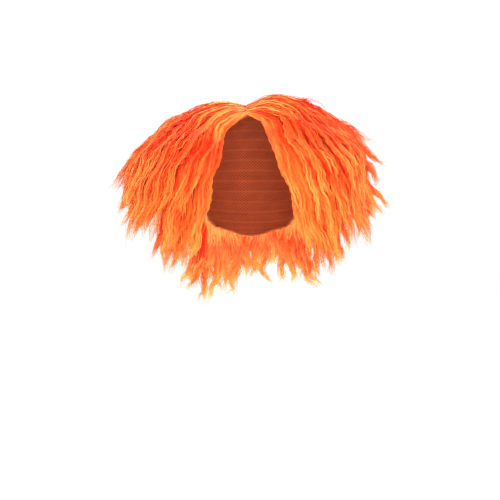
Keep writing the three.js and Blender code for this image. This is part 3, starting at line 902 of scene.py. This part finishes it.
def cap_edge(azimuth):
    """How far down the cap reaches, as an angle from the top of the head, in degrees."""
    rows = np.array(CAP_EDGE["azimuth"], float)
    polar = np.array(CAP_EDGE["polar"], float)
    row = np.clip(np.searchsorted(rows, azimuth, side="right") - 1, 0, len(rows) - 2)
    return lerp(polar[row], polar[row + 1], smooth(azimuth, rows[row], rows[row + 1]))


def cap_mesh(name):
    """A wall of stretch net between its inner and outer surface, with a rolled hem."""
    round_way = np.arange(CAP_COLUMNS) / CAP_COLUMNS * 360
    sign = np.where(round_way < 180, 1.0, -1.0)
    azimuth = np.where(round_way < 180, round_way - 90, 270 - round_way)
    edge = np.radians(cap_edge(azimuth))
    down = np.linspace(0, 1, CAP_ROWS + 1)[1:]
    polar = edge[:, None] * down
    around = np.radians(azimuth)[:, None]
    rib = RIB_RISE * smooth(np.cos(np.degrees(polar) / RIB_EVERY * TURN), *RIB_SIDES)
    offsets = (OUTER_SKIN, INNER_SKIN - rib)
    skins = [head_point(sign[:, None], around, polar, off) for off in offsets]
    rim = head_point(sign, np.radians(azimuth), edge, CAP_WALL / 2)
    above = head_point(sign, np.radians(azimuth), edge - RIM_STEP, CAP_WALL / 2)
    down_way = unit(rim - above)
    next_rim = np.roll(rim, -1, axis=0) - np.roll(rim, 1, axis=0)
    out_way = unit(np.cross(next_rim, down_way))
    rim = rim - down_way * HEM_RADIUS
    spin = np.arange(HEM_SIDES) / HEM_SIDES * TURN
    hem = rim[:, None] + HEM_RADIUS * (
        out_way[:, None] * np.cos(spin)[:, None] + down_way[:, None] * np.sin(spin)[:, None]
    )
    points = np.concatenate([part.reshape(-1, 3) for part in (*skins, hem)])
    column = np.arange(CAP_COLUMNS)
    after = (column + 1) % CAP_COLUMNS
    quads = []
    for skin, flip in ((0, False), (1, True)):
        base = skin * CAP_COLUMNS * CAP_ROWS
        for k in range(CAP_ROWS - 1):
            quad = [column * CAP_ROWS + k, column * CAP_ROWS + k + 1]
            quad += [after * CAP_ROWS + k + 1, after * CAP_ROWS + k]
            quads.append(base + np.stack(quad[::-1] if flip else quad, axis=-1))
    base = 2 * CAP_COLUMNS * CAP_ROWS
    for k in range(HEM_SIDES):
        j = (k + 1) % HEM_SIDES
        quad = [column * HEM_SIDES + k, column * HEM_SIDES + j]
        quad += [after * HEM_SIDES + j, after * HEM_SIDES + k]
        quads.append(base + np.stack(quad, axis=-1))
    quads = np.concatenate(quads)
    outward = points - np.array([0, 0, -HEAD_RISE])
    turn = (np.arctan2(outward[:, 1], outward[:, 0]) / TURN + 0.5) % 1
    drop = np.arctan2(np.hypot(outward[:, 0], outward[:, 1]), outward[:, 2]) / (TURN / 2)
    return build_mesh(name, points, quads, np.stack([turn, drop], axis=-1))


def link(tree, *pairs):
    for a, b in pairs:
        tree.links.new(a, b)


def math_node(tree, kind, a, b=None, c=None):
    """A number made from numbers or from other nodes' outputs."""
    made = tree.nodes.new("ShaderNodeMath")
    made.operation = kind
    for socket, value in zip(made.inputs, (a, b, c)):
        if isinstance(value, bpy.types.NodeSocket):
            tree.links.new(value, socket)
        elif value is not None:
            socket.default_value = value
    return made.outputs[0]


def ramp_node(tree, value, stops):
    """Colours between stops, which are given in order as places and colours."""
    made = tree.nodes.new("ShaderNodeValToRGB")
    ramp = made.color_ramp
    for element, (position, _) in zip(ramp.elements, (stops[0], stops[-1])):
        element.position = position
    for position, _ in stops[1:-1]:
        ramp.elements.new(position)
    for element, (_, colour) in zip(ramp.elements, stops):
        element.color = (*colour, 1)
    tree.links.new(value, made.inputs[0])
    return made.outputs[0]


def multiply(tree, a, b):
    """One colour times another."""
    mix = tree.nodes.new("ShaderNodeMix")
    mix.data_type = "RGBA"
    mix.blend_type = "MULTIPLY"
    mix.inputs[0].default_value = 1
    link(tree, (a, mix.inputs[6]), (b, mix.inputs[7]))
    return mix.outputs[2]


def new_material(name, surface):
    """A material, its node tree and shader, and the two parts of the shared UV map."""
    material = bpy.data.materials.new(name)
    material.use_nodes = True
    tree = material.node_tree
    shader = tree.nodes["Principled BSDF"]
    for socket, value in surface.items():
        shader.inputs[socket].default_value = value
    uv = tree.nodes.new("ShaderNodeUVMap")
    uv.uv_map = "OFBake"
    parts = tree.nodes.new("ShaderNodeSeparateXYZ")
    tree.links.new(uv.outputs[0], parts.inputs[0])
    return material, tree, shader, parts.outputs["X"], parts.outputs["Y"]


def noise_node(tree, x, y, detail):
    """Noise over the two parts of a UV map, whose scales are already in them."""
    place = tree.nodes.new("ShaderNodeCombineXYZ")
    noise = tree.nodes.new("ShaderNodeTexNoise")
    noise.inputs["Scale"].default_value = 1
    noise.inputs["Detail"].default_value = detail
    link(tree, (x, place.inputs[0]), (y, place.inputs[1]))
    link(tree, (place.outputs[0], noise.inputs["Vector"]))
    return noise.outputs[0]


def bump_node(tree, shader, height, strength, distance):
    bump = tree.nodes.new("ShaderNodeBump")
    bump.inputs["Strength"].default_value = strength
    bump.inputs["Distance"].default_value = distance
    link(tree, (height, bump.inputs["Height"]), (bump.outputs[0], shader.inputs["Normal"]))


def hair_material():
    """Orange fibre: a tone for each strand, colours from root to tip with a painted highlight
    near the roots, painted shade in the middle and lighter ends, and fine fibres along it.
    """
    material, tree, shader, u, v = new_material("crimped_hair", HAIR_SURFACE)
    column = math_node(tree, "MULTIPLY", u, TONES)
    tone = math_node(tree, "FLOOR", column)
    share = math_node(tree, "DIVIDE", tone, TONES - 1)
    tones = ramp_node(tree, share, HAIR_TONES)
    ends = ramp_node(tree, v, HAIR_ENDS)
    offset = math_node(tree, "MULTIPLY", tone, FIBRE_OFFSET)
    across = math_node(tree, "MULTIPLY_ADD", math_node(tree, "FRACT", column), FIBRES, offset)
    along = math_node(tree, "MULTIPLY_ADD", v, FIBRE_RUNS, offset)
    fibres = noise_node(tree, across, along, FIBRE_DETAIL)
    shades = ramp_node(tree, fibres, FIBRE_SHADES)
    colour = multiply(tree, multiply(tree, tones, ends), shades)
    tree.links.new(colour, shader.inputs["Base Color"])
    gloss = math_node(tree, "MULTIPLY_ADD", fibres, *FIBRE_ROUGHNESS)
    tree.links.new(gloss, shader.inputs["Roughness"])
    bump_node(tree, shader, fibres, *HAIR_BUMP)
    return material


def net_material():
    """Stretch net in diamonds, with stitched tapes round the head; the holes between its threads
    are painted dark as shade.
    """
    material, tree, shader, u, v = new_material("stretch_net", NET_SURFACE)
    left = math_node(tree, "MULTIPLY", u, NET_AROUND)
    down = math_node(tree, "MULTIPLY", v, NET_DOWN)
    lines = []
    for kind in ("ADD", "SUBTRACT"):
        place = math_node(tree, "FRACT", math_node(tree, kind, left, down))
        lines.append(math_node(tree, "ABSOLUTE", math_node(tree, "SUBTRACT", place, 0.5)))
    net = math_node(tree, "MULTIPLY_ADD", math_node(tree, "MAXIMUM", *lines), *NET_THREAD)
    net = math_node(tree, "MAXIMUM", math_node(tree, "SMOOTH_MIN", net, 1, NET_SOFTNESS), 0)
    wave = math_node(tree, "COSINE", math_node(tree, "MULTIPLY", v, 180 / RIB_EVERY * TURN))
    tape = math_node(tree, "MULTIPLY_ADD", wave, *NET_TAPE)
    tape = math_node(tree, "MINIMUM", math_node(tree, "MAXIMUM", tape, 0), 1)
    stitch = math_node(tree, "SINE", math_node(tree, "MULTIPLY", u, STITCHES * TURN))
    stitch = math_node(tree, "MULTIPLY_ADD", stitch, *NET_STITCH)
    height = math_node(tree, "MAXIMUM", net, math_node(tree, "MULTIPLY", tape, stitch))
    around = math_node(tree, "MULTIPLY", u, BLOTCHES_AROUND)
    along = math_node(tree, "MULTIPLY", v, BLOTCHES_DOWN)
    blotch = noise_node(tree, around, along, BLOTCH_DETAIL)
    blotches = ramp_node(tree, blotch, BLOTCH_SHADES)
    colour = multiply(tree, ramp_node(tree, height, NET_SHADES), blotches)
    tree.links.new(colour, shader.inputs["Base Color"])
    bump_node(tree, shader, height, *NET_BUMP)
    return material


def plain_material(name, colour, roughness):
    material = bpy.data.materials.new(name)
    material.use_nodes = True
    shader = material.node_tree.nodes["Principled BSDF"]
    shader.inputs["Base Color"].default_value = (*colour, 1)
    shader.inputs["Roughness"].default_value = roughness
    return material


def side_pieces(name, side, ear_from, seeds):
    """The three rows of one side, and the nodes that they replace."""
    rows = (
        ("top", TOP, TOP_FROM, BACK_SHARE, TOP_LOCKS),
        ("side", SIDE, SIDE_SHARE, BACK_SHARE, SIDE_LOCKS),
        ("ear", EAR, ear_from, EAR_SHARE, EAR_LOCKS),
    )
    made = []
    for (kind, row, first, last, count), seed in zip(rows, seeds):
        piece = side_weft(f"hair_{kind}_{name}", side, row, first, last, count, seed)
        made.append((piece, f"{kind}_weft_{name}"))
    return made


hair = hair_material()
pieces = [
    *side_pieces("left", LEFT, ear_from=0.14, seeds=(0, 17, 25)),
    *side_pieces("right", RIGHT, ear_from=0.16, seeds=(29, 46, 54)),
    (back_weft("hair_crown", CROWN, count=8, seed=58), "crown_weft"),
    (back_weft("hair_back", BACK, count=7, seed=66), "back_weft"),
    (nape_weft("hair_nape", NAPE, count=7, seed=72), "nape_weft"),
    (loose_locks("hair_wisps", WISPS, WISP, WISP_THICKNESS, seed=80), None),
    (loose_locks("hair_edge_tips", SPIKES, SPIKE, SPIKE_THICKNESS, seed=90), None),
]
for piece, replaced in pieces:
    piece.data.materials.append(hair)
    if replaced:
        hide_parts(replaced)
    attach(piece, "root")
    print(piece.name, "triangles", 2 * len(piece.data.polygons))

cap = cap_mesh("stretch_cap")
cap.data.materials.append(net_material())
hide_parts("cap")
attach(cap, "root")
print(cap.name, "triangles", 2 * len(cap.data.polygons))

VIEW_DISTANCE = 2.0
VIEW_WIDTH = 0.7
VIEW_CENTRE = (-1.4 * MM, -198 * MM)
SENSOR_WIDTH = 36
camera_data = bpy.data.cameras.new("camera")
camera_data.sensor_width = SENSOR_WIDTH
camera_data.lens = SENSOR_WIDTH * VIEW_DISTANCE / VIEW_WIDTH
camera = bpy.data.objects.new("camera", camera_data)
camera.location = (VIEW_CENTRE[0], -VIEW_DISTANCE, VIEW_CENTRE[1])
camera.rotation_euler = (TURN / 4, 0, 0)
bpy.context.scene.collection.objects.link(camera)
bpy.context.scene.camera = camera

FLOOR_DROP = 0.62
FLOOR_SIZE = 60
bpy.ops.mesh.primitive_plane_add(size=FLOOR_SIZE, location=(0, 0, -FLOOR_DROP))
floor = bpy.context.object
floor.name = "floor"
floor.data.materials.append(plain_material("pale_floor", (0.97, 0.97, 0.97), 0.9))

world = bpy.data.worlds.new("studio")
bpy.context.scene.world = world
world.use_nodes = True
sky = world.node_tree.nodes["Background"]
sky.inputs["Color"].default_value = (1, 1, 1, 1)
sky.inputs["Strength"].default_value = 1.05

LIGHT_AIM = (0, 0, -0.12)


def area_light(name, place, size, power):
    data = bpy.data.lights.new(name, "AREA")
    data.shape = "DISK"
    data.size = size
    data.energy = power
    light = bpy.data.objects.new(name, data)
    light.location = place
    aim = Vector(LIGHT_AIM) - Vector(place)
    light.rotation_euler = aim.to_track_quat("-Z", "Y").to_euler()
    bpy.context.scene.collection.objects.link(light)


area_light("key", (-0.7, -1.1, 1.9), size=0.9, power=30)
area_light("front", (0.1, -2.5, -0.1), size=1.2, power=40)
area_light("fill", (1.5, -1.2, 0.7), size=1.2, power=16)
area_light("back", (0.3, 1.6, 1.3), size=1.0, power=26)
bpy.context.scene.view_settings.view_transform = "Standard"

bpy.context.scene.cycles.diffuse_bounces = 10
bpy.context.scene.cycles.max_bounces = 14
